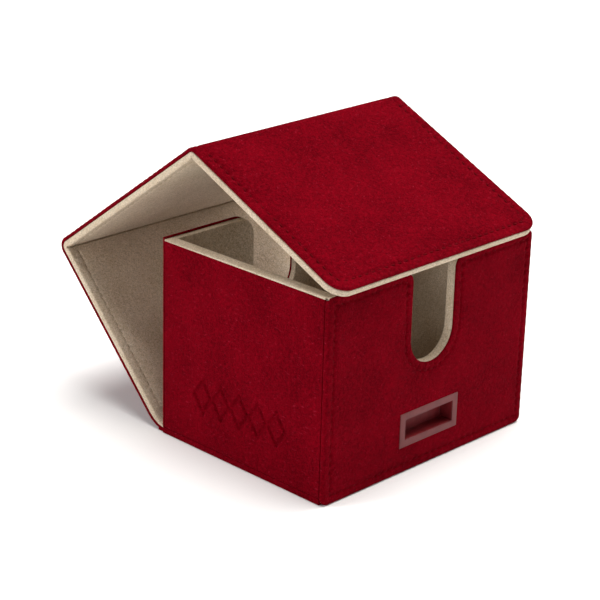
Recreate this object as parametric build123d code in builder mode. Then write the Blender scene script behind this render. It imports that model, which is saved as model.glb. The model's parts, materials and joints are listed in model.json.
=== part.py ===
from build123d import *
import math
import os

# Landscape card deck box: an open-topped tray of covered boards, glued into a wrap whose free end
# folds over as a three-panel lid (back panel, top panel, front flap). Millimetres, +Z up.
# Origin: centre of the box's footprint, on the surface it stands on. The front faces -Y.

# ---------------------------------------------------------------- driving dimensions
width = 105.0  # tray, along X
depth = 81.0  # tray and front wrap, along Y
height = 75.0  # tray, along Z
skin = 0.8  # suede cover or microfibre lining
wall_board = 2.8  # board inside the side walls
back_board = 1.6  # board inside the back wall
wrap_board = 1.4  # board inside the glued-on front and base panels
floor_thickness = 1.6
panel_thickness = 4.0  # lid panel: outer leaf and lined inner leaf
outer_leaf = 1.5
inner_board = 1.7
lid_width = 104.0
back_reach = 73.6  # bottom hinge axis to top hinge axis
top_length = 84.0  # top hinge axis to ridge hinge axis
flap_length = 76.0  # ridge hinge axis to the flap's free edge
back_lean = -43.83  # panel directions from +Z towards -Y, as it stands half open
top_lean = 53.57
flap_lean = 114.67
hinge_height = 2.4  # bottom hinge axis above the surface
hinge_behind = 3.88  # bottom hinge axis behind the tray's back face
leaf_gap = 1.0  # outer leaf stops this far short of a hinge axis
lining_gap = 0.6
board_gap = 1.6
free_corner = 7.0  # rounding of the flap's two free corners
fold_corner = 2.5
front_corner = 2.5  # rounding of the front panel's lower corners
notch_half = 11.0  # thumb notches: half width, which is also the radius of the round bottom
notch_centre = 49.7  # height of that round bottom's centre
flare = 4.5  # rounding where the front notch meets the wall's top edge
back_flare = 8.0  # the same rounding on the back notch
latch_size = (30.2, 12.9)
latch_opening = (25.0, 7.8)
latch_height = 16.3
latch_proud = 0.3
latch_depth = 5.4
latch_back = 1.4
bezel_flange = 0.9
magnet_radius = 5.0
magnet_thickness = 1.2
magnet_spacing = 44.0
keeper_size = (8.0, 5.0)
keeper_thickness = 0.9
keeper_spacing = 12.0

# ---------------------------------------------------------------- derived places
half_width = width / 2
front_face = -depth / 2
back_face = depth / 2
wrap = skin + wrap_board
tray_front = front_face + wrap
tray_side = half_width - skin
board_side = tray_side - wall_board
inner_side = board_side - skin
board_back = back_face - skin - back_board
inner_back = board_back - skin
front_board_in = tray_front + wrap_board
inner_front = front_board_in + skin
front_wall = inner_front - front_face - skin  # front wall behind its suede
floor_top = wrap + floor_thickness
well_floor = floor_top + skin
cap = height - skin
hinge_y = back_face + hinge_behind
hinge_offset = panel_thickness - hinge_height  # bottom axis to the back panel's inner face
back_length = math.sqrt(back_reach**2 - hinge_offset**2)


def along(lean):
    """Direction of a panel that leans by this angle from +Z towards -Y."""
    angle = math.radians(lean)
    return Vector(0, -math.sin(angle), math.cos(angle))


def outward(lean):
    """Direction of such a panel's outer face."""
    angle = math.radians(lean)
    return Vector(0, math.cos(angle), math.sin(angle))


bottom_axis = Vector(0, hinge_y, hinge_height)
back_origin = bottom_axis - outward(back_lean) * hinge_offset
top_axis = back_origin + along(back_lean) * back_length
ridge_axis = top_axis + along(top_lean) * top_length

print("bottom axis", bottom_axis, "top axis", top_axis, "ridge axis", ridge_axis)


def panel_plane(origin, lean, level=0.0):
    """Plane of a lid panel, at this level above its inner face: local Y runs along the panel."""
    normal = outward(lean)
    return Plane(origin=origin + normal * level, x_dir=(-1, 0, 0), z_dir=normal)


def block(x, y, z, mode=Mode.ADD):
    """A box between two values on each axis."""
    middle = tuple((low + high) / 2 for low, high in (x, y, z))
    size = [high - low for low, high in (x, y, z)]
    with Locations(middle):
        Box(*size, mode=mode)


def wall_plane(y):
    """Upright plane at this Y; its extrusions run towards -Y."""
    return Plane.XZ.offset(-y)


def notch(back_y, grow=0.0, corner=flare):
    """Upright face of a thumb notch, open upwards, larger by grow all round."""
    half = notch_half + grow
    corner_x = notch_half + corner
    corner_z = height - corner
    radius = corner - grow
    above = height + corner
    with BuildSketch(wall_plane(back_y)) as face:
        with BuildLine():
            Polyline((corner_x, corner_z + radius), (corner_x, above), (-corner_x, above),
                     (-corner_x, corner_z + radius))
            RadiusArc((-corner_x, corner_z + radius), (-half, corner_z), radius)
            Line((-half, corner_z), (-half, notch_centre))
            ThreePointArc((-half, notch_centre), (0, notch_centre - half), (half, notch_centre))
            Line((half, notch_centre), (half, corner_z))
            RadiusArc((half, corner_z), (corner_x, corner_z + radius), radius)
        make_face()
    return face.sketch


def latch_face(back_y, size, opening=None):
    """Upright rectangle at the latch's place, with an opening in it if one is given."""
    with BuildSketch(wall_plane(back_y)) as face:
        with Locations((0, latch_height)):
            Rectangle(*size)
            if opening:
                Rectangle(*opening, mode=Mode.SUBTRACT)
    return face.sketch


def magnet_discs(plane, middle):
    """Two round magnets, side by side, about a point at this height in the plane."""
    with BuildSketch(plane) as discs:
        with Locations((0, middle)):
            with GridLocations(magnet_spacing, 0, 2, 1):
                Circle(magnet_radius)
    return discs.sketch


def keeper_bars(back_y):
    """Two bar magnets behind the latch recess."""
    with BuildSketch(wall_plane(back_y)) as bars:
        with Locations((0, latch_height)):
            with GridLocations(keeper_spacing, 0, 2, 1):
                Rectangle(*keeper_size)
    return bars.sketch


parts = {}


def keep(name, builder):
    """Label a finished piece and list it for writing."""
    builder.part.label = name
    parts[name] = builder.part


# ---------------------------------------------------------------- wrap: base and front panel
with BuildPart() as base_board:
    block((-tray_side, tray_side), (tray_front, back_face), (skin, wrap))
keep("base_board", base_board)

with BuildPart() as base_cover:
    block((-half_width, half_width), (tray_front, back_face), (0, wrap))
    block((-tray_side, tray_side), (tray_front, back_face), (skin, wrap), Mode.SUBTRACT)
    block((-lid_width / 2, lid_width / 2), (back_face, hinge_y - leaf_gap), (0, skin))
keep("base_cover", base_cover)

latch_hole = (latch_size[0] - 2 * bezel_flange, latch_size[1] - 2 * bezel_flange)
magnet_plane = wall_plane(front_face + skin + magnet_thickness)
cup_end = front_face + latch_depth + latch_back
pad_size = (latch_hole[0] + 2 * skin, latch_hole[1] + 2 * skin)

with BuildPart() as front_board:
    block((-tray_side, tray_side), (front_face + skin, tray_front), (skin, cap))
    extrude(notch(tray_front, skin), amount=wrap_board, mode=Mode.SUBTRACT)
    extrude(latch_face(tray_front, latch_hole), amount=wrap_board, mode=Mode.SUBTRACT)
    extrude(magnet_discs(magnet_plane, latch_height), amount=magnet_thickness,
            mode=Mode.SUBTRACT)
keep("front_board", front_board)

with BuildPart() as front_cover:
    with BuildSketch(wall_plane(tray_front)):
        with Locations((0, height / 2)):
            Rectangle(width, height)
        fillet(vertices().group_by(Axis.Y)[0], front_corner)
    extrude(amount=wrap)
    block((-tray_side, tray_side), (front_face + skin, tray_front), (skin, height), Mode.SUBTRACT)
    extrude(notch(tray_front), amount=wrap, mode=Mode.SUBTRACT)
    extrude(latch_face(tray_front, latch_hole), amount=wrap, mode=Mode.SUBTRACT)
keep("front_cover", front_cover)

with BuildPart() as front_magnets:
    extrude(magnet_discs(magnet_plane, latch_height), amount=magnet_thickness)
keep("front_magnets", front_magnets)

# Microfibre binding over the front wall's top edge and round its thumb notch.
with BuildPart() as front_binding:
    block((-tray_side, tray_side), (front_face + skin, tray_front), (cap, height))
    block((-inner_side, inner_side), (tray_front, inner_front), (cap, height))
    extrude(notch(inner_front, skin), amount=front_wall)
    block((-half_width, half_width), (front_face, inner_front), (height, height + 2 * flare),
          Mode.SUBTRACT)
    extrude(notch(inner_front), amount=front_wall, mode=Mode.SUBTRACT)
keep("front_binding", front_binding)

# ---------------------------------------------------------------- tray: boards
side_run = (front_board_in, board_back)

for side, sign in (("left", -1), ("right", 1)):
    with BuildPart() as wall_core:
        block(sorted((sign * board_side, sign * tray_side)), side_run, (floor_top, cap))
    keep(f"{side}_wall_board", wall_core)

    with BuildPart() as wall_suede:
        block(sorted((sign * tray_side, sign * half_width)), (tray_front, back_face - skin),
              (wrap, cap))
    keep(f"{side}_wall_cover", wall_suede)

    with BuildPart() as wall_lining:
        block(sorted((sign * inner_side, sign * board_side)), (inner_front, inner_back),
              (well_floor, cap))
        block(sorted((sign * inner_side, sign * half_width)), (tray_front, back_face - skin),
              (cap, height))
    keep(f"{side}_wall_lining", wall_lining)

with BuildPart() as back_wall_board:
    block((-tray_side, tray_side), (board_back, back_face - skin), (floor_top, cap))
    extrude(notch(back_face - skin, skin, back_flare), amount=back_board, mode=Mode.SUBTRACT)
keep("back_wall_board", back_wall_board)

with BuildPart() as back_wall_cover:
    block((-half_width, half_width), (back_face - skin, back_face), (wrap, height))
    extrude(notch(back_face, corner=back_flare), amount=skin, mode=Mode.SUBTRACT)
keep("back_wall_cover", back_wall_cover)

with BuildPart() as back_wall_lining:
    block((-inner_side, inner_side), (inner_back, back_face - skin), (well_floor, height))
    block((-inner_side, inner_side), (board_back, back_face - skin), (well_floor, cap),
          Mode.SUBTRACT)
    extrude(notch(back_face - skin, skin, back_flare), amount=back_board)
    block((-half_width, half_width), (inner_back, back_face), (height, height + 2 * back_flare),
          Mode.SUBTRACT)
    extrude(notch(back_face - skin, corner=back_flare), amount=back_board + skin,
            mode=Mode.SUBTRACT)
keep("back_wall_lining", back_wall_lining)

with BuildPart() as front_wall_board:
    block((-tray_side, tray_side), (tray_front, front_board_in), (floor_top, cap))
    extrude(notch(front_board_in, skin), amount=wrap_board, mode=Mode.SUBTRACT)
    extrude(latch_face(front_board_in, latch_hole), amount=wrap_board, mode=Mode.SUBTRACT)
keep("front_wall_board", front_wall_board)

with BuildPart() as front_wall_lining:
    block((-inner_side, inner_side), (front_board_in, inner_front), (well_floor, cap))
    extrude(notch(inner_front, skin), amount=skin, mode=Mode.SUBTRACT)
    extrude(latch_face(inner_front, latch_hole), amount=skin, mode=Mode.SUBTRACT)
keep("front_wall_lining", front_wall_lining)

with BuildPart() as floor_board:
    block((-tray_side, tray_side), (tray_front, back_face - skin), (wrap, floor_top))
keep("floor_board", floor_board)

with BuildPart() as floor_lining:
    block((-board_side, board_side), (front_board_in, board_back), (floor_top, well_floor))
keep("floor_lining", floor_lining)

# ---------------------------------------------------------------- magnetic latch recess
with BuildPart() as latch_bezel:
    extrude(latch_face(front_face, latch_size, latch_opening), amount=latch_proud)
    chamfer(faces().sort_by(Axis.Y)[0].outer_wire().edges(), latch_proud / 2)
keep("latch_bezel", latch_bezel)

# The cup reaches through the front wall and a little into the well, where a lined pad covers it.
with BuildPart() as latch_cup:
    extrude(latch_face(cup_end, latch_hole), amount=cup_end - front_face)
    extrude(latch_face(front_face + latch_depth, latch_opening), amount=latch_depth,
            mode=Mode.SUBTRACT)
    extrude(keeper_bars(cup_end), amount=keeper_thickness, mode=Mode.SUBTRACT)
keep("latch_cup", latch_cup)

with BuildPart() as keeper_magnets:
    extrude(keeper_bars(cup_end), amount=keeper_thickness)
keep("keeper_magnets", keeper_magnets)

with BuildPart() as latch_pad:
    extrude(latch_face(cup_end + skin, pad_size), amount=cup_end + skin - inner_front)
    extrude(latch_face(cup_end, latch_hole), amount=cup_end - inner_front, mode=Mode.SUBTRACT)
keep("latch_pad", latch_pad)

# ---------------------------------------------------------------- lid panels
inner_leaf = panel_thickness - outer_leaf
flap_magnet_plane = panel_plane(ridge_axis, flap_lean, inner_leaf - magnet_thickness)
panels = {
    "lid_back": (back_origin, back_lean, back_length, False),
    "lid_top": (top_axis, top_lean, top_length, False),
    "flap": (ridge_axis, flap_lean, flap_length, True),
}


def leaf(plane, start, end, half, end_corner):
    """Outline of one leaf of a lid panel, in the panel's own plane."""
    with BuildSketch(plane) as outline:
        with Locations((0, (start + end) / 2)):
            Rectangle(2 * half, end - start)
        fillet(outline.vertices().group_by(Axis.Y)[0], fold_corner)
        fillet(outline.vertices().group_by(Axis.Y)[-1], end_corner)
    return outline.sketch


for name, (origin, lean, length, free) in panels.items():
    leaf_end = length if free else length - leaf_gap
    lining_end = length if free else length - lining_gap
    board_end = length - skin if free else length - board_gap
    corner = free_corner if free else fold_corner
    board_face = leaf(panel_plane(origin, lean, inner_leaf - inner_board),
                      board_gap, board_end, lid_width / 2 - skin, corner)

    with BuildPart() as panel_cover:
        extrude(leaf(panel_plane(origin, lean, inner_leaf), leaf_gap, leaf_end, lid_width / 2,
                     corner), amount=outer_leaf)
    keep(f"{name}_cover", panel_cover)

    with BuildPart() as panel_board:
        extrude(board_face, amount=inner_board)
        if free:
            extrude(magnet_discs(flap_magnet_plane, flap_length - latch_height),
                    amount=magnet_thickness, mode=Mode.SUBTRACT)
    keep(f"{name}_board", panel_board)

    with BuildPart() as panel_lining:
        extrude(leaf(panel_plane(origin, lean), lining_gap, lining_end, lid_width / 2, corner),
                amount=inner_leaf)
        extrude(board_face, amount=inner_board, mode=Mode.SUBTRACT)
    keep(f"{name}_lining", panel_lining)

with BuildPart() as flap_magnets:
    extrude(magnet_discs(flap_magnet_plane, flap_length - latch_height),
            amount=magnet_thickness)
keep("flap_magnets", flap_magnets)

# ---------------------------------------------------------------- fabric folds
# Each fold is a strip of cover: a short straight run, an arc about the hinge axis, a straight run.
fold_start = Plane(origin=(-lid_width / 2, 0, 0), x_dir=(0, 1, 0), z_dir=(1, 0, 0))
run = leaf_gap - 0.1


def fold(axis, radius, lean_before, lean_after):
    """Solid strip round an outer corner, from one panel's outer face to the next one's."""
    before = outward(lean_before)
    after = outward(lean_after)
    middle = outward((lean_before + lean_after) / 2)
    tails = (along(lean_before) * -run, along(lean_after) * run)

    def spot(direction, reach, shift=Vector(0, 0, 0)):
        point = axis + direction * reach + shift
        return (point.Y, point.Z)

    thin = radius - skin
    with BuildSketch(fold_start) as section:
        with BuildLine():
            Line(spot(before, radius, tails[0]), spot(before, radius))
            ThreePointArc(spot(before, radius), spot(middle, radius), spot(after, radius))
            Line(spot(after, radius), spot(after, radius, tails[1]))
            Line(spot(after, radius, tails[1]), spot(after, thin, tails[1]))
            Line(spot(after, thin, tails[1]), spot(after, thin))
            ThreePointArc(spot(after, thin), spot(middle, thin), spot(before, thin))
            Line(spot(before, thin), spot(before, thin, tails[0]))
            Line(spot(before, thin, tails[0]), spot(before, radius, tails[0]))
        make_face()
    return section.sketch


with BuildPart() as bottom_fold:
    extrude(fold(bottom_axis, hinge_height, -90, back_lean), amount=lid_width)
keep("bottom_fold", bottom_fold)

with BuildPart() as top_fold:
    extrude(fold(top_axis, panel_thickness, back_lean, top_lean), amount=lid_width)
keep("top_fold", top_fold)

with BuildPart() as ridge_fold:
    extrude(fold(ridge_axis, panel_thickness, top_lean, flap_lean), amount=lid_width)
keep("ridge_fold", ridge_fold)

# ---------------------------------------------------------------- write the pieces
os.makedirs("parts", exist_ok=True)
for name, piece in parts.items():
    export_step(piece, f"parts/{name}.step")
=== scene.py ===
import json
import math

import bmesh
import bpy
from mathutils import Matrix, Vector

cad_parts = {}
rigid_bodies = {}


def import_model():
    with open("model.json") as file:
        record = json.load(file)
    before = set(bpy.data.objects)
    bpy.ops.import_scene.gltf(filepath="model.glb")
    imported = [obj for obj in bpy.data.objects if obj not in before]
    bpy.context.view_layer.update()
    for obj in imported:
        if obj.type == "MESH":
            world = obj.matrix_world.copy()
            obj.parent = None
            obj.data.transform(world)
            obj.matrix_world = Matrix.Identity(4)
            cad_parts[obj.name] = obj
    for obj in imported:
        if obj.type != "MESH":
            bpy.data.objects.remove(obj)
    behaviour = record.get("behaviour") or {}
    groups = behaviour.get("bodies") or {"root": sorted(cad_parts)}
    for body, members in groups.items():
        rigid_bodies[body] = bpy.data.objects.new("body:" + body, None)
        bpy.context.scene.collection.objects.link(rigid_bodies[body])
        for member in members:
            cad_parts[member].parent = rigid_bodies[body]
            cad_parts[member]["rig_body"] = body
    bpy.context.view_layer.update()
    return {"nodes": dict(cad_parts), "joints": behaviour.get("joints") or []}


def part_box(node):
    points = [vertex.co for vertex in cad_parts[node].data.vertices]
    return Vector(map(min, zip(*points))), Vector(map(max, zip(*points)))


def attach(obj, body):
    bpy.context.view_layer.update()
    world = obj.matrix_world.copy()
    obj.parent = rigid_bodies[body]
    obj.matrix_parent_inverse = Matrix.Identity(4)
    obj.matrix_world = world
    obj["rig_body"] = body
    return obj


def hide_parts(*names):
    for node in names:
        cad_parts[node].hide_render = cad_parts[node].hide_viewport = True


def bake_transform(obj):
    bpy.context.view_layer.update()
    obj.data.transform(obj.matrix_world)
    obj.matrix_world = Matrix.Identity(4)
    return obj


# Card deck box: suede-covered tray and wrap with a three-panel lid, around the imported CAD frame.
# Lengths are in millimetres until a mesh is made, and metres from there on.
MM = 0.001

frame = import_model()

# ---------------------------------------------------------------- places taken from the frame
joints = {j["name"]: j for j in frame["joints"]}


def box_mm(node):
    """A CAD node's lowest and highest corner, in millimetres."""
    low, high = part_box(node)
    return low / MM, high / MM


top_axis = Vector(joints["top_hinge"]["pos_m"]) / MM
ridge_axis = Vector(joints["flap_hinge"]["pos_m"]) / MM
front_low, front_high = box_mm("front_cover")
half_width = front_high.x
height = front_high.z
front_face = front_low.y
tray_front = front_high.y
back_face = box_mm("back_wall_cover")[1].y
lid_half = box_mm("lid_top_cover")[1].x
skin = 0.8  # thickness of the suede over a side wall
panel_thickness = 4.0
inner_leaf = 2.5  # the lining's share of a panel's thickness
suede_thick = panel_thickness - inner_leaf
back_lean = -43.83  # leans are in degrees, from +Z towards -Y
flap_lean = 114.67
top_lean = math.degrees(math.atan2(top_axis.y - ridge_axis.y, ridge_axis.z - top_axis.z))
top_length = (ridge_axis - top_axis).length
back_length = 73.58
flap_length = 76.0
notch_half = 11.0  # half width of the front thumb notch, which is also the radius of its foot
notch_centre = 49.7
flare = 4.5  # rounding where the notch meets the top edge
seam_inset = 3.9  # from a lid panel's edge to its sewn line
fold_reach = 9.0  # how far the soft bottom fold runs up the back panel and under the base


def along(lean):
    """Direction of a panel that leans by this angle from +Z towards -Y."""
    angle = math.radians(lean)
    return Vector((0, -math.sin(angle), math.cos(angle)))


def outward(lean):
    """Direction of such a panel's outer face."""
    angle = math.radians(lean)
    return Vector((0, math.cos(angle), math.sin(angle)))


back_origin = top_axis - along(back_lean) * back_length


# ---------------------------------------------------------------- materials
def new_material(name):
    """A material with a node tree and its Principled shader."""
    material = bpy.data.materials.new(name)
    material.use_nodes = True
    tree = material.node_tree
    return material, tree, tree.nodes["Principled BSDF"]


def add_node(tree, kind, **values):
    """Add a node and set its named inputs or properties."""
    node = tree.nodes.new(kind)
    for key, value in values.items():
        if key in node.inputs:
            node.inputs[key].default_value = value
        else:
            setattr(node, key, value)
    return node


def noise_node(tree, place, scale, detail=2.0, rough=0.5, stretch=None):
    """Noise in object space; stretch scales the space first, for streaks."""
    source = place.outputs["Object"]
    if stretch:
        mapping = add_node(tree, "ShaderNodeMapping")
        mapping.inputs["Scale"].default_value = stretch
        tree.links.new(source, mapping.inputs["Vector"])
        source = mapping.outputs["Vector"]
    noise = add_node(tree, "ShaderNodeTexNoise")
    noise.inputs["Scale"].default_value = scale
    noise.inputs["Detail"].default_value = detail
    noise.inputs["Roughness"].default_value = rough
    tree.links.new(source, noise.inputs["Vector"])
    return noise.outputs["Fac"]


def ramp_node(tree, source, stops):
    """Colour ramp over a value; stops are (position, colour)."""
    ramp = add_node(tree, "ShaderNodeValToRGB")
    elements = ramp.color_ramp.elements
    elements[0].position, elements[0].color = stops[0][0], (*stops[0][1], 1)
    elements[1].position, elements[1].color = stops[-1][0], (*stops[-1][1], 1)
    for position, colour in stops[1:-1]:
        elements.new(position).color = (*colour, 1)
    tree.links.new(source, ramp.inputs["Fac"])
    return ramp.outputs["Color"]


def mix_node(tree, first, second, factor, mode="MIX"):
    """Mix two colours; first, second and factor are sockets or plain values."""
    mix = add_node(tree, "ShaderNodeMix", data_type="RGBA", blend_type=mode)
    wanted = ((mix.inputs[0], factor), (mix.inputs[6], first), (mix.inputs[7], second))
    for socket, value in wanted:
        if hasattr(value, "node"):
            tree.links.new(value, socket)
        else:
            socket.default_value = value
    return mix.outputs[2]


def bump_node(tree, layers):
    """Bumps laid on each other; each layer is (height socket, strength, distance in metres)."""
    normal = None
    for source, strength, distance in layers:
        bump = add_node(tree, "ShaderNodeBump")
        bump.inputs["Strength"].default_value = strength
        bump.inputs["Distance"].default_value = distance
        tree.links.new(source, bump.inputs["Height"])
        if normal is not None:
            tree.links.new(normal, bump.inputs["Normal"])
        normal = bump.outputs["Normal"]
    return normal


def napped_cloth(name, dark, middle, light, glint_colour, sheen, sheen_tint, relief):
    """Short-napped cloth: brushed patches, crinkled pile, fine fibres with painted glints on their
    tips, and a soft sheen.
    """
    material, tree, shader = new_material(name)
    place = add_node(tree, "ShaderNodeTexCoord")
    patches = noise_node(tree, place, 60, 3, 0.55)
    crinkle = noise_node(tree, place, 760, 5, 0.7)
    pile = noise_node(tree, place, 2100, 3, 0.7)
    fibres = noise_node(tree, place, 1500, 2, 0.6, stretch=(1.0, 0.35, 1.6))
    base = ramp_node(tree, crinkle, [(0.34, dark), (0.5, middle), (0.66, light)])
    brushed = ramp_node(tree, patches, [(0.3, dark), (0.7, light)])
    colour = mix_node(tree, base, brushed, 0.38)
    shades = [(0.36, (0.62, 0.62, 0.62)), (0.5, (1, 1, 1)), (0.66, (1.3, 1.3, 1.3))]
    grain = ramp_node(tree, pile, shades)
    colour = mix_node(tree, colour, grain, 0.8, "MULTIPLY")
    # painted highlight: light glints on the fibre tips, painted into the base colour
    painted_glints = ramp_node(tree, fibres, [(0.63, (0, 0, 0)), (0.75, (0.6, 0.6, 0.6))])
    colour = mix_node(tree, colour, (*glint_colour, 1), painted_glints)
    tree.links.new(colour, shader.inputs["Base Color"])
    shader.inputs["Roughness"].default_value = 0.95
    shader.inputs["Specular IOR Level"].default_value = 0.03
    shader.inputs["Specular Tint"].default_value = (*sheen_tint, 1)
    shader.inputs["Sheen Weight"].default_value = sheen
    shader.inputs["Sheen Roughness"].default_value = 0.5
    shader.inputs["Sheen Tint"].default_value = (*sheen_tint, 1)
    normal = bump_node(tree, [(patches, 0.3 * relief, 0.004), (crinkle, 0.8 * relief, 0.0006),
                              (pile, 0.9 * relief, 0.00025), (fibres, 0.4 * relief, 0.0002)])
    tree.links.new(normal, shader.inputs["Normal"])
    return material


def thread_material(name, dark, light):
    """Twisted sewing thread."""
    material, tree, shader = new_material(name)
    place = add_node(tree, "ShaderNodeTexCoord")
    twist = noise_node(tree, place, 3000, 2, 0.6)
    colour = ramp_node(tree, twist, [(0.35, dark), (0.65, light)])
    tree.links.new(colour, shader.inputs["Base Color"])
    shader.inputs["Roughness"].default_value = 0.7
    shader.inputs["Specular IOR Level"].default_value = 0.05
    tree.links.new(bump_node(tree, [(twist, 0.5, 0.0001)]), shader.inputs["Normal"])
    return material


def plastic_material(name, dark, light, rough):
    """Satin moulded plastic with a fine spark-eroded texture and faint rubbing."""
    material, tree, shader = new_material(name)
    place = add_node(tree, "ShaderNodeTexCoord")
    fine = noise_node(tree, place, 4500, 2, 0.5)
    wear = noise_node(tree, place, 260, 4, 0.6)
    tree.links.new(ramp_node(tree, wear, [(0.35, dark), (0.7, light)]), shader.inputs["Base Color"])
    roughness = add_node(tree, "ShaderNodeMapRange")
    roughness.inputs["To Min"].default_value = rough - 0.08
    roughness.inputs["To Max"].default_value = rough + 0.1
    tree.links.new(wear, roughness.inputs["Value"])
    tree.links.new(roughness.outputs["Result"], shader.inputs["Roughness"])
    shader.inputs["Specular IOR Level"].default_value = 0.25
    tree.links.new(bump_node(tree, [(fine, 0.25, 0.00008)]), shader.inputs["Normal"])
    return material


def board_material():
    """Grey paperboard with flecks of fibre."""
    material, tree, shader = new_material("paperboard")
    place = add_node(tree, "ShaderNodeTexCoord")
    flecks = noise_node(tree, place, 900, 4, 0.7)
    stops = [(0.3, (0.23, 0.2, 0.16)), (0.7, (0.42, 0.38, 0.32))]
    tree.links.new(ramp_node(tree, flecks, stops), shader.inputs["Base Color"])
    shader.inputs["Roughness"].default_value = 0.9
    tree.links.new(bump_node(tree, [(flecks, 0.3, 0.0001)]), shader.inputs["Normal"])
    return material


def metal_material():
    """Nickel plating with faint brushing."""
    material, tree, shader = new_material("nickel")
    place = add_node(tree, "ShaderNodeTexCoord")
    lines = noise_node(tree, place, 1200, 2, 0.5, stretch=(1, 0.05, 1))
    stops = [(0.3, (0.5, 0.49, 0.47)), (0.7, (0.66, 0.65, 0.63))]
    tree.links.new(ramp_node(tree, lines, stops), shader.inputs["Base Color"])
    shader.inputs["Metallic"].default_value = 1.0
    shader.inputs["Roughness"].default_value = 0.28
    tree.links.new(bump_node(tree, [(lines, 0.15, 0.00005)]), shader.inputs["Normal"])
    return material


SUEDE = napped_cloth("crimson_suede", dark=(0.088, 0.0003, 0.0030), middle=(0.146, 0.0005, 0.0048),
                     light=(0.215, 0.0012, 0.0075), glint_colour=(0.36, 0.018, 0.04), sheen=0.05,
                     sheen_tint=(0.5, 0.01, 0.03), relief=1.0)
MICROFIBRE = napped_cloth("cream_microfibre", dark=(0.48, 0.375, 0.262),
                          middle=(0.58, 0.468, 0.345), light=(0.66, 0.56, 0.45),
                          glint_colour=(0.74, 0.655, 0.55), sheen=0.06, sheen_tint=(0.9, 0.8, 0.6),
                          relief=0.7)
RED_THREAD = thread_material("crimson_thread", (0.1, 0.0005, 0.003), (0.18, 0.0014, 0.006))
CREAM_THREAD = thread_material("cream_thread", (0.2, 0.155, 0.1), (0.36, 0.3, 0.2))
BEZEL = plastic_material("bezel_plastic", (0.122, 0.022, 0.023), (0.165, 0.034, 0.035), 0.42)
CUP = plastic_material("cup_plastic", (0.125, 0.007, 0.01), (0.19, 0.014, 0.018), 0.34)
BOARD = board_material()
NICKEL = metal_material()


# ---------------------------------------------------------------- mesh helpers
def add_piece(name, verts, faces, material, body=None, keep_sharp=35):
    """A mesh object from millimetre points, smooth except at sharp edges."""
    mesh = bpy.data.meshes.new(name)
    mesh.from_pydata([tuple(Vector(v) * MM) for v in verts], [], faces)
    clean = bmesh.new()
    clean.from_mesh(mesh)
    bmesh.ops.remove_doubles(clean, verts=clean.verts, dist=1e-6)
    bmesh.ops.recalc_face_normals(clean, faces=clean.faces)
    clean.to_mesh(mesh)
    clean.free()
    mesh.materials.append(material)
    piece = bpy.data.objects.new(name, mesh)
    bpy.context.scene.collection.objects.link(piece)
    mesh.shade_smooth()
    mesh.set_sharp_from_angle(angle=math.radians(keep_sharp))
    if body:
        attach(piece, body)
    return piece


def grid_faces(rows, columns, closed=False):
    """Quads over rows of points, each with this many columns; closed joins last to first."""
    span = columns if closed else columns - 1
    return [(r * columns + c, r * columns + (c + 1) % columns,
             (r + 1) * columns + (c + 1) % columns, (r + 1) * columns + c)
            for r in range(rows - 1) for c in range(span)]


def end_caps(rows, columns):
    """The two faces that close a skin's first and last row."""
    last = (rows - 1) * columns
    return [tuple(reversed(range(columns))), tuple(last + c for c in range(columns))]


def arc(centre, radius, start, end, count):
    """Points of an arc in a plane, angles in degrees."""
    points = []
    for i in range(count):
        angle = math.radians(start + (end - start) * i / (count - 1))
        points.append((centre[0] + radius * math.cos(angle), centre[1] + radius * math.sin(angle)))
    return points


def steps(start, end, count):
    """Evenly spaced values, both ends included."""
    return [start + (end - start) * i / (count - 1) for i in range(count)]


def soften(node, material, width, segments=3):
    """A CAD node's shape with its flat facets joined and its edges rolled over."""
    source = frame["nodes"][node]
    mesh = source.data.copy()
    shape = bmesh.new()
    shape.from_mesh(mesh)
    bmesh.ops.remove_doubles(shape, verts=shape.verts, dist=2e-6)
    bmesh.ops.dissolve_limit(shape, angle_limit=math.radians(1.5), verts=shape.verts,
                             edges=shape.edges)
    sharp = [e for e in shape.edges
             if len(e.link_faces) == 2 and e.calc_face_angle(0) > math.radians(30)]
    bmesh.ops.bevel(shape, geom=sharp, offset=width * MM, segments=segments, profile=0.6,
                    affect="EDGES", clamp_overlap=True)
    bmesh.ops.triangulate(shape, faces=[f for f in shape.faces if len(f.verts) > 4])
    shape.to_mesh(mesh)
    shape.free()
    mesh.materials.clear()
    mesh.materials.append(material)
    piece = bpy.data.objects.new(f"{node}_soft", mesh)
    bpy.context.scene.collection.objects.link(piece)
    mesh.shade_smooth()
    mesh.set_sharp_from_angle(angle=math.radians(50))
    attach(piece, source["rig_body"])
    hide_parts(node)


stitch_pitch = 3.2
stitch_length = 1.9
stitch_radius = 0.2
stitch_lift = -0.02
stitch_sides = 6
# One stitch's rings: (place along it, share of its radius, sink as a share of its radius).
stitch_rings = ((-0.5, 0.35, 0.6), (-0.38, 0.85, 0.25), (0, 1.0, 0), (0.38, 0.85, 0.25),
                (0.5, 0.35, 0.6))


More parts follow.
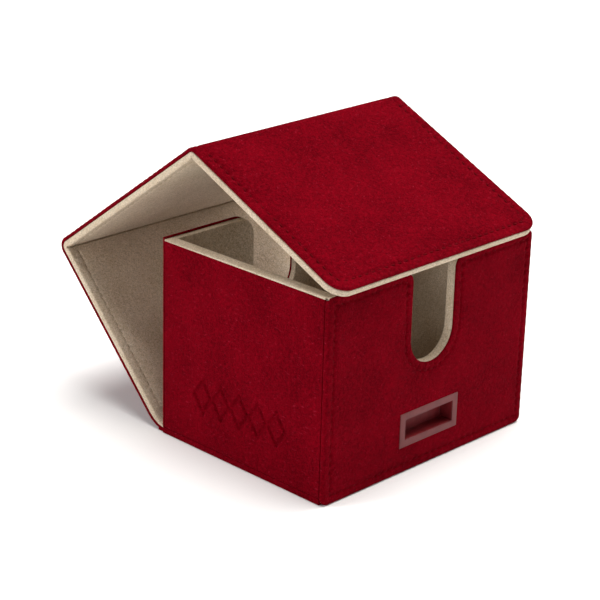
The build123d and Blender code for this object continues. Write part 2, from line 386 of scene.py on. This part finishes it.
def stitch_row(points, normals, verts, faces):
    """Add sewn stitches along a line of points, with the surface's normal at each."""
    lengths = [0.0]
    for a, b in zip(points, points[1:]):
        lengths.append(lengths[-1] + (b - a).length)

    def at(distance):
        for i in range(len(points) - 1):
            if distance <= lengths[i + 1] or i == len(points) - 2:
                share = (distance - lengths[i]) / max(lengths[i + 1] - lengths[i], 1e-9)
                return points[i].lerp(points[i + 1], share), normals[i]

    count = max(1, round(lengths[-1] / stitch_pitch))
    around = stitch_sides
    for i in range(count):
        middle = lengths[-1] * (i + 0.5) / count
        before, normal = at(middle - stitch_length / 2)
        after, _ = at(middle + stitch_length / 2)
        run = (after - before).normalized()
        side = normal.cross(run).normalized()
        first = len(verts)
        for share, size, sink in stitch_rings:
            centre = before.lerp(after, 0.5 + share) + normal * (stitch_lift - sink * stitch_radius)
            for k in range(around):
                angle = 2 * math.pi * k / around
                spoke = side * math.cos(angle) + normal * math.sin(angle)
                verts.append(centre + spoke * stitch_radius * size)
        quads = grid_faces(len(stitch_rings), around, closed=True)
        faces.extend(tuple(first + corner for corner in quad) for quad in quads)
        last = first + (len(stitch_rings) - 1) * around
        faces.append(tuple(first + k for k in reversed(range(around))))
        faces.append(tuple(last + k for k in range(around)))


pucker_depth = 0.24
crease_depth = 0.5
crease_reach = 0.5
seam_fade = 2.5  # from a fold, the distance over which the puckers start
ripple_fade = 6.0
row_step = 0.48  # spacing of mesh rows along a sewn edge, so that each stitch puckers the cloth


def leaf_profile(thick, roll, sink, pull):
    """Section of a leaf from its hidden side, round the rolled edge, to its padded middle.

    sink is how deep the sewn line lies, and pull how strongly its stitches pucker the cloth.
    Each entry is (inset from the edge, height, share of the stitches' pucker, share of ripple).
    """
    seam = seam_inset
    edge = [(roll * 1.2, 0.0, 0, 0), (roll * 0.35, roll * 0.2, 0, 0), (0.0, roll * 0.75, 0, 0),
            (0.0, thick - roll * 0.9, 0, 0), (roll * 0.18, thick - roll * 0.42, 0.15 * pull, 0),
            (roll * 0.55, thick - roll * 0.12, 0.3 * pull, 0), (roll * 1.1, thick, 0.45 * pull, 0)]
    sewn = [(seam - 1.2, thick + 0.02, 0.5 * pull, 0),
            (seam - 0.6, thick - sink * 0.25, 0.8 * pull, 0),
            (seam - 0.25, thick - sink * 0.85, pull, 0), (seam, thick - sink, pull, 0),
            (seam + 0.25, thick - sink * 0.85, pull, 0),
            (seam + 0.6, thick - sink * 0.25, 0.8 * pull, 0),
            (seam + 1.3, thick + 0.03, 0.3 * pull, 0.2)]
    middle = [(inset, thick + 0.1, 0, 1) for inset in (8.5, 12, 18, 24, 30, 36, 42, 48)]
    return edge + sewn + middle


SUEDE_PROFILE = leaf_profile(suede_thick, 0.75, 0.28, 1.6)
LINING_PROFILE = leaf_profile(inner_leaf, 0.6, 0.22, 0.5)
SUEDE_KIND = (SUEDE_PROFILE, 1, SUEDE, "suede")
LINING_KIND = (LINING_PROFILE, -1, MICROFIBRE, "microfibre")


def ripple(u, v, phase):
    """Slight waviness of cloth glued over board."""
    slow = math.sin(u / 11 + phase) * math.sin(v / 13 + 2 * phase)
    return 0.08 * (slow + 0.6 * math.sin(u / 6.1 + v / 8.3 + phase))


def pucker(distance, pitch):
    """How far the cloth is pulled down by the stitch holes at this distance along the seam."""
    turn = 2 * math.pi * distance / pitch
    uneven = 1.0 + 0.28 * math.sin(distance / 7.3) + 0.22 * math.sin(distance / 3.1 + 1.0)
    return pucker_depth * uneven * (0.5 + 0.5 * math.cos(turn))


def even_pitch(length):
    """Stitch pitch that divides a seam evenly."""
    return length / max(1, round(length / stitch_pitch))


def fade(v, start, end, reach):
    """0 at both ends of a run, rising to 1 within this reach of them."""
    return max(0.0, min(1.0, (v - start) / reach, (end - v) / reach))


def section(kind, v=0.0, start=0.0, end=0.0, phase=0.0, dip=0.0):
    """Closed cross-section of a leaf: (across, level) points, with its pucker and ripple at v."""
    profile, facing = kind[0], kind[1]
    thick = suede_thick if facing > 0 else inner_leaf
    sewn = fade(v, start, end, seam_fade) if end > start else 0.0
    loose = fade(v, start, end, ripple_fade) if end > start else 0.0
    pitch = even_pitch(max(end - start - 2, 1))
    pulled = pucker(v - start - 1, pitch) * sewn

    def point(side, entry):
        inset, height, pull, wave = entry
        u = side * (lid_half - inset)
        lift = min(height - pull * pulled + wave * loose * ripple(u, v, phase), thick - dip)
        return u, inner_leaf + facing * lift

    return ([point(-1, entry) for entry in profile]
            + [point(1, entry) for entry in reversed(profile)])


def sweep(name, frames, kind, body=None):
    """Sweep cross-sections through frames of (origin, outward direction, section)."""
    verts = []
    for origin, out, shape in frames:
        verts += [origin + Vector((u, 0, 0)) + out * w for u, w in shape]
    columns = len(frames[0][2])
    faces = grid_faces(len(frames), columns, closed=True) + end_caps(len(frames), columns)
    return add_piece(name, verts, faces, kind[2], body)


def crease(distance):
    """How far a lining dips where it meets the next panel's, at this distance from the hinge."""
    share = max(0.0, 1.0 - distance / crease_reach)
    return crease_depth * share * share * (3 - 2 * share)


def hinged_leaf(name, origin, lean, start, end, kind, phase, creased, body):
    """A leaf with both ends at folds; creased says which ends have an inner crease."""
    run, out = along(lean), outward(lean)
    frames = []
    for v in steps(start, end, int((end - start) / row_step) + 1):
        dip = 0.0
        if kind[1] < 0:
            dip = max(crease(v - start) if creased[0] else 0.0,
                      crease(end - v) if creased[1] else 0.0)
        frames.append((origin + run * v, out, section(kind, v, start, end, phase, dip)))
    return sweep(name, frames, kind, body)


def free_outline(start, end, inset, corner):
    """One U-shaped ring of the free leaf, from one fold corner round the tip to the other."""
    radius = max(corner - inset, 0.3)
    side, tip = lid_half - inset, end - inset
    rows = int((end - corner - start) / row_step)
    left = [(-side, v) for v in steps(start, tip - radius, rows)[:-1]]
    left += arc((-side + radius, tip - radius), radius, 180, 90, 18)
    left += [(u, tip) for u in steps(-side + radius, 0, 90)[1:-1]]
    return left + [(0.0, tip)] + [(-u, v) for u, v in reversed(left)]


def seam_distances(points):
    """Distance along a line of flat points."""
    total, result = 0.0, [0.0]
    for a, b in zip(points, points[1:]):
        total += math.dist(a, b)
        result.append(total)
    return result


def free_leaf(name, origin, lean, start, end, corner, kind, phase, body):
    """A leaf with one straight fold end and one free end with rounded corners."""
    profile, facing = kind[0], kind[1]
    thick = suede_thick if facing > 0 else inner_leaf
    run, out = along(lean), outward(lean)
    seam = seam_distances(free_outline(start, end, seam_inset, corner))
    pitch = even_pitch(seam[-1] - 2)
    verts = []
    for inset, height, pull, wave in profile:
        for (u, v), distance in zip(free_outline(start, end, inset, corner), seam):
            sewn = fade(v, start, 2 * end, seam_fade)
            loose = fade(v, start, 2 * end, ripple_fade)
            dip = crease(v - start) if facing < 0 else 0.0
            lift = height - pull * sewn * pucker(distance - 1, pitch)
            lift = min(lift + wave * loose * ripple(u, v, phase), thick - dip)
            verts.append(origin + Vector((u, 0, 0)) + run * v
                         + out * (inner_leaf + facing * lift))
    columns = len(seam)
    rows = len(profile)
    faces = grid_faces(rows, columns) + end_caps(rows, columns)
    faces.append(tuple([r * columns for r in range(rows)]
                       + [r * columns + columns - 1 for r in reversed(range(rows))]))
    return add_piece(name, verts, faces, kind[2], body)


# ---------------------------------------------------------------- lid
def fold_frames(axis, lean_from, lean_to, count, kind):
    """Frames round a fold, with the linings' crease at its inner corner."""
    dip = crease_depth if kind[1] < 0 else 0.0
    shape = section(kind, dip=dip)
    return [(axis, outward(lean), shape) for lean in steps(lean_from, lean_to, count)]


def seam_line(origin, lean, start, end, level, side):
    """Points and normals of the sewn line along one long edge of a panel."""
    run, out = along(lean), outward(lean)
    flat = [(side * (lid_half - seam_inset), v) for v in steps(start + 1, end - 1, 30)]
    points = [origin + Vector((u, 0, 0)) + run * v + out * level for u, v in flat]
    return points, [out] * len(points)


def free_seam_line(origin, lean, start, end, level, corner):
    """Points and normals of the sewn line round the free leaf."""
    run, out = along(lean), outward(lean)
    flat = [(u, v) for u, v in free_outline(start, end, seam_inset, corner) if v >= start + 1]
    points = [origin + Vector((u, 0, 0)) + run * v + out * level for u, v in flat]
    return points, [out] * len(points)


free_corner = 7.0
hinge_room = 0.04  # keeps two leaves apart where they meet on a hinge line and lie flat
panel_specs = [
    ("lid_back", back_origin, back_lean, fold_reach, back_length - hinge_room, (False, True)),
    ("lid_top", top_axis, top_lean, hinge_room, top_length - hinge_room, (True, True)),
    ("flap", ridge_axis, flap_lean, hinge_room, flap_length, None),
]
seam_kinds = ((SUEDE_KIND, "outer", panel_thickness - 0.3, RED_THREAD),
              (LINING_KIND, "inner", 0.28, CREAM_THREAD))

for index, (name, origin, lean, start, end, creased) in enumerate(panel_specs):
    for kind, face, level, thread in seam_kinds:
        phase = index * 2.1 + kind[1]
        title = f"{name}_{kind[3]}"
        if creased is None:
            leaf = free_leaf(title, origin, lean, start, end, free_corner, kind, phase, name)
            rows = [free_seam_line(origin, lean, start, end, level, free_corner)]
        else:
            leaf = hinged_leaf(title, origin, lean, start, end, kind, phase, creased, name)
            rows = [seam_line(origin, lean, start, end, level, side) for side in (-1, 1)]
        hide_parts(f"{name}_{'cover' if kind[1] > 0 else 'lining'}")

        verts, faces = [], []
        for points, normals in rows:
            facing_out = [n * kind[1] for n in normals]
            stitch_row(points, facing_out, verts, faces)
        stitches = add_piece(f"{name}_{face}_stitches", verts, faces, thread, name)


def blended(piece, first, second, start, end, slot, *nodes):
    """Bake a fold piece's placement into its mesh, and hide the CAD nodes it stands for."""
    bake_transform(piece)
    if nodes:
        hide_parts(*nodes)


def fold_ends(axis, lean_from, lean_to, radius):
    """Points on a fold's outer face at the two ends of its arc."""
    return axis + outward(lean_from) * radius, axis + outward(lean_to) * radius


# The ridge fold bends between the top panel and the flap, the top fold between the other two.
for fold, axis, first, second, lean_from, lean_to, count in (
        ("ridge_fold", ridge_axis, "lid_top", "flap", top_lean, flap_lean, 13),
        ("top_fold", top_axis, "lid_back", "lid_top", back_lean, top_lean, 19)):
    ends = fold_ends(axis, lean_from, lean_to, panel_thickness)
    for kind in (SUEDE_KIND, LINING_KIND):
        leaf = sweep(f"{fold}_{kind[3]}", fold_frames(axis, lean_from, lean_to, count, kind), kind)
        nodes = [fold] if kind is SUEDE_KIND else []
        blended(leaf, first, second, *ends, kind[3], *nodes)


def soft_bottom():
    """Frames of the soft curve from the back panel's lower end to the base, each with a share."""
    upper = back_origin + along(back_lean) * fold_reach
    lower = Vector((0, back_face - 1.0, panel_thickness))
    reach = (upper - lower).length * 0.42
    result = []
    for t in steps(0.0, 1.0, 15):
        a = upper
        b = upper - along(back_lean) * reach
        c = lower + Vector((0, reach, 0))
        d = lower
        s = 1 - t
        point = a * s**3 + b * 3 * s * s * t + c * 3 * s * t * t + d * t**3
        slope = (b - a) * 3 * s * s + (c - b) * 6 * s * t + (d - c) * 3 * t * t
        slope.normalize()
        out = Vector((0, slope.z, -slope.y))
        if out.y < 0 and out.z > 0:
            out = -out
        result.append((point, out, t))
    return result


bottom = soft_bottom()
bottom_ends = (Vector((0, back_face, 0.0)),
               back_origin + along(back_lean) * fold_reach + outward(back_lean) * panel_thickness)
bottom_shape = section(SUEDE_KIND)
bottom_suede = sweep("bottom_fold_suede", [(p, o, bottom_shape) for p, o, t in bottom], SUEDE_KIND)
blended(bottom_suede, "tray", "lid_back", *bottom_ends, "suede", "bottom_fold")
bottom_taper = []
for point, out, share in bottom:
    thin = 1.0 - 0.75 * max(0.0, (share - 0.35) / 0.65)
    shape = [(u, w * thin) for u, w in section(LINING_KIND)]
    bottom_taper.append((point + out * inner_leaf * (1 - thin), out, shape))
bottom_lining = sweep("bottom_fold_microfibre", bottom_taper, LINING_KIND)
blended(bottom_lining, "tray", "lid_back", *bottom_ends, "microfibre")


# ---------------------------------------------------------------- front panel
def front_outline(inset):
    """The front panel's outline with its thumb notch, drawn in by an inset: (x, z) points."""
    side, low, high = half_width - inset, inset, height - inset
    base = max(2.5 - inset, 0.2)
    shoulder = max(1.6 - inset, 0.2)
    half = notch_half + inset
    lip = max(flare - inset, 0.25)
    right = [(x, low) for x in steps(0, side - base, 90)[:-1]]
    right += arc((side - base, low + base), base, -90, 0, 9)
    right += [(side, z) for z in steps(low + base, high - shoulder, 130)[1:-1]]
    right += arc((side - shoulder, high - shoulder), shoulder, 0, 90, 7)
    right += [(x, high) for x in steps(side - shoulder, half + lip, 64)[1:-1]]
    right += arc((half + lip, high - lip), lip, 90, 180, 14)
    right += [(half, z) for z in steps(high - lip, notch_centre, 42)[1:-1]]
    right += arc((0, notch_centre), half, 0, -90, 34)
    return right + [(-x, z) for x, z in reversed(right[1:-1])]


front_seam = 3.1
# The front leaf's section: (inset from its outline, level, share of the stitches' pucker).
front_profile = [(0.5, 0.0, 0), (0.12, 0.12, 0), (0.0, 0.45, 0), (0.0, 1.5, 0), (0.12, 1.86, 0.15),
                 (0.38, 2.1, 0.4), (0.8, 2.2, 0.6), (2.0, 2.22, 0.7), (2.55, 2.14, 1.0),
                 (2.85, 1.94, 1.3), (3.1, 1.88, 1.3), (3.35, 1.94, 1.3), (3.65, 2.14, 1.0),
                 (4.4, 2.22, 0.4), (5.4, 2.22, 0)]
binding_level = 1.4  # behind this level the notch and the top edge belong to the cream binding


def build_front():
    """Front panel suede: rolled edges, sewn line, and a hole where the latch sits."""
    hole_low, hole_high = box_mm("latch_cup")
    shape = bmesh.new()
    rings = []
    seam = seam_distances(front_outline(front_seam))
    pitch = even_pitch(seam[-1])
    for inset, depth, pull in front_profile:
        ring = []
        for (x, z), distance in zip(front_outline(inset), seam):
            level = depth - pull * pucker(distance, pitch)
            bound = abs(x) < notch_half + flare + 1 and z > notch_centre - notch_half - 1
            w = max(level, binding_level) if bound or z > height - 1.2 else level
            ring.append(shape.verts.new(Vector((x, tray_front - w, z)) * MM))
        rings.append(ring)
    for a, b in zip(rings, rings[1:]):
        for i in range(len(a)):
            k = (i + 1) % len(a)
            shape.faces.new((a[i], a[k], b[k], b[i]))
    y_front = (tray_front - front_profile[-1][1]) * MM
    y_back = tray_front * MM
    corners = [(hole_low.x, hole_low.z), (hole_high.x, hole_low.z), (hole_high.x, hole_high.z),
               (hole_low.x, hole_high.z)]
    front_hole = [shape.verts.new((x * MM, y_front, z * MM)) for x, z in corners]
    back_hole = [shape.verts.new((x * MM, y_back, z * MM)) for x, z in corners]
    for i in range(4):
        k = (i + 1) % 4
        shape.faces.new((front_hole[i], front_hole[k], back_hole[k], back_hole[i]))
    for ring, hole in ((rings[-1], front_hole), (rings[0], back_hole)):
        edges = []
        for loop in (ring, hole):
            for i in range(len(loop)):
                pair = (loop[i], loop[(i + 1) % len(loop)])
                edges.append(shape.edges.get(pair) or shape.edges.new(pair))
        bmesh.ops.triangle_fill(shape, edges=edges, use_beauty=True)
    bmesh.ops.recalc_face_normals(shape, faces=shape.faces)
    mesh = bpy.data.meshes.new("front_panel_suede")
    shape.to_mesh(mesh)
    shape.free()
    mesh.materials.append(SUEDE)
    piece = bpy.data.objects.new("front_panel_suede", mesh)
    bpy.context.scene.collection.objects.link(piece)
    mesh.shade_smooth()
    mesh.set_sharp_from_angle(angle=math.radians(40))
    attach(piece, "tray")
    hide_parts("front_cover")

    verts, faces = [], []
    line = [Vector((x, front_face + 0.38, z)) for x, z in front_outline(front_seam)]
    stitch_row(line, [Vector((0, -1, 0))] * len(line), verts, faces)
    stitches = add_piece("front_panel_stitches", verts, faces, RED_THREAD, "tray")


build_front()


# ---------------------------------------------------------------- side walls with a pressed motif
lozenge_count = 5
press_depth = 0.68


def lozenge_depth(y, z):
    """How deep the pressed row of plain lozenge outlines is here, from 0 to 1."""
    first, spacing, middle_z = -17.5, 9.2, 21.0
    wide, high = 4.1, 5.9  # half width and half height of one lozenge
    stroke_half, slope = 0.85, 0.45
    deepest = 0.0
    for index in range(lozenge_count):
        reach = abs(y - first - spacing * index) / wide + abs(z - middle_z) / high
        from_line = abs(reach - 1) * wide * high / math.hypot(wide, high)
        deepest = max(deepest, min(1.0, max(0.0, (stroke_half - from_line) / slope)))
    return deepest


def side_wall(name, sign):
    """Suede over a side wall, round the back corner, pressed on its outer face."""
    low, high = box_mm(f"{name}_cover")
    corner = 1.6
    back = back_face - 0.05
    face_x = half_width
    ys = steps(tray_front + 0.12, -24, 6) + steps(-23.7, 26.0, 170) + steps(26.6, back - corner, 6)
    plan = [((face_x, y), (1, 0)) for y in ys]
    for x, y in arc((face_x - corner, back - corner), corner, 8, 90, 7):
        normal = ((x - face_x + corner) / corner, (y - back + corner) / corner)
        plan.append(((x, y), normal))
    plan.append(((face_x - corner - 2.5, back), (0, 1)))
    bottom, top = low.z, high.z
    zs = steps(bottom + 0.5, 11.0, 6) + steps(11.4, 31.0, 66) + steps(31.6, top - 0.35, 9)
    outer = [(0.45, bottom), (0.12, bottom + 0.15)] + [(0.0, z) for z in zs]
    outer += [(0.08, top - 0.1), (0.3, top)]
    inner = [(skin, top), (skin, bottom)]
    rows = []
    for (x, y), (nx, ny) in plan:
        row = []
        for depth, z in outer + inner:
            pressed = press_depth * lozenge_depth(y, z) if depth == 0.0 and ny == 0 else 0.0
            reach = depth + pressed
            row.append(Vector((sign * (x - nx * reach), y - ny * reach, z)))
        rows.append(row)
    columns = len(rows[0])
    verts = [v for row in rows for v in row]
    faces = grid_faces(len(rows), columns, closed=True) + end_caps(len(rows), columns)
    piece = add_piece(f"{name}_suede", verts, faces, SUEDE, "tray", keep_sharp=60)
    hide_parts(f"{name}_cover")


side_wall("left_wall", -1)
side_wall("right_wall", 1)

# ---------------------------------------------------------------- CAD shapes with softened edges
for node, width in (("back_wall_cover", 0.2), ("base_cover", 0.38)):
    soften(node, SUEDE, width)
for node, width in (("left_wall_lining", 0.28), ("right_wall_lining", 0.28),
                    ("back_wall_lining", 0.38), ("front_wall_lining", 0.2), ("floor_lining", 0.3),
                    ("front_binding", 0.36), ("latch_pad", 0.3)):
    soften(node, MICROFIBRE, width)
# along the back, the suede stands a little proud of the linings, as a dark rim
rim_height = 0.72
rim_above = (height - 0.6) * MM
rim_behind = (back_face - 4.5) * MM
for wall in ("back", "left", "right"):
    for vertex in bpy.data.objects[f"{wall}_wall_lining_soft"].data.vertices:
        if vertex.co.z > rim_above and vertex.co.y > rim_behind:
            vertex.co.z -= rim_height * MM
soften("latch_bezel", BEZEL, 0.12, segments=2)
soften("latch_cup", CUP, 0.25)

for name, node in frame["nodes"].items():
    if not node.hide_render:
        node.data.materials.clear()
        node.data.materials.append(NICKEL if name.endswith("magnets") else BOARD)


# ---------------------------------------------------------------- floor, light and camera
def area_light(name, place, target, size, power, colour):
    """A square soft light that faces a point."""
    lamp = bpy.data.lights.new(name, "AREA")
    lamp.shape = "SQUARE"
    lamp.size = size
    lamp.energy = power
    lamp.color = colour
    light = bpy.data.objects.new(name, lamp)
    bpy.context.scene.collection.objects.link(light)
    light.location = place
    light.rotation_mode = "QUATERNION"
    light.rotation_quaternion = (Vector(target) - Vector(place)).to_track_quat("-Z", "Y")


floor_mesh = bpy.data.meshes.new("floor")
reach = 25.0
corners = [(-reach, -reach, 0), (reach, -reach, 0), (reach, reach, 0), (-reach, reach, 0)]
floor_mesh.from_pydata(corners, [], [(0, 1, 2, 3)])
floor_material, floor_tree, floor_shader = new_material("pale_floor")
floor_shader.inputs["Base Color"].default_value = (0.92, 0.92, 0.92, 1)
floor_shader.inputs["Roughness"].default_value = 0.9
floor_mesh.materials.append(floor_material)
floor = bpy.data.objects.new("floor", floor_mesh)
floor.location.z = -0.0002  # just under the box, so that the two faces never coincide
bpy.context.scene.collection.objects.link(floor)

world = bpy.data.worlds.new("studio")
world.use_nodes = True
world.node_tree.nodes["Background"].inputs["Color"].default_value = (1.0, 0.99, 0.98, 1)
world.node_tree.nodes["Background"].inputs["Strength"].default_value = 0.2
bpy.context.scene.world = world
middle = (0.0, 0.02, 0.05)
sun = bpy.data.lights.new("key", "SUN")
sun.energy = 3.45
sun.angle = math.radians(42)
sun.color = (1.0, 0.985, 0.96)
key = bpy.data.objects.new("key", sun)
bpy.context.scene.collection.objects.link(key)
key.rotation_mode = "QUATERNION"
key.rotation_quaternion = Vector((-0.1, 0.02, -0.95)).to_track_quat("-Z", "Y")
area_light("left_fill", (-0.8, 0.4, 0.42), middle, 0.28, 4.2, (1.0, 0.99, 0.98))
area_light("front_fill", (0.15, -0.9, 0.2), middle, 0.4, 0.45, (1.0, 0.99, 0.98))
area_light("rim", (0.74, -0.2, 0.5), (0.0, 0.07, 0.06), 0.5, 4.0, (1.0, 0.985, 0.96))
bpy.context.scene.view_settings.view_transform = "Standard"

camera_data = bpy.data.cameras.new("camera")
camera_data.lens = 120
camera_data.sensor_width = 36
camera = bpy.data.objects.new("camera", camera_data)
bpy.context.scene.collection.objects.link(camera)
azimuth, elevation, roll = math.radians(-45.83), math.radians(21.06), math.radians(1.59)
back = Vector((math.sin(azimuth) * math.cos(elevation), -math.cos(azimuth) * math.cos(elevation),
               math.sin(elevation)))
right = Vector((0, 0, 1)).cross(back).normalized()
up = back.cross(right)
turn = Matrix((right * math.cos(roll) + up * math.sin(roll),
               up * math.cos(roll) - right * math.sin(roll), back)).transposed()
look_at = Vector((-6.86, 17.29, 46.48)) * MM
camera_distance = 0.72405
camera.matrix_world = Matrix.Translation(look_at + back * camera_distance) @ turn.to_4x4()
bpy.context.scene.camera = camera
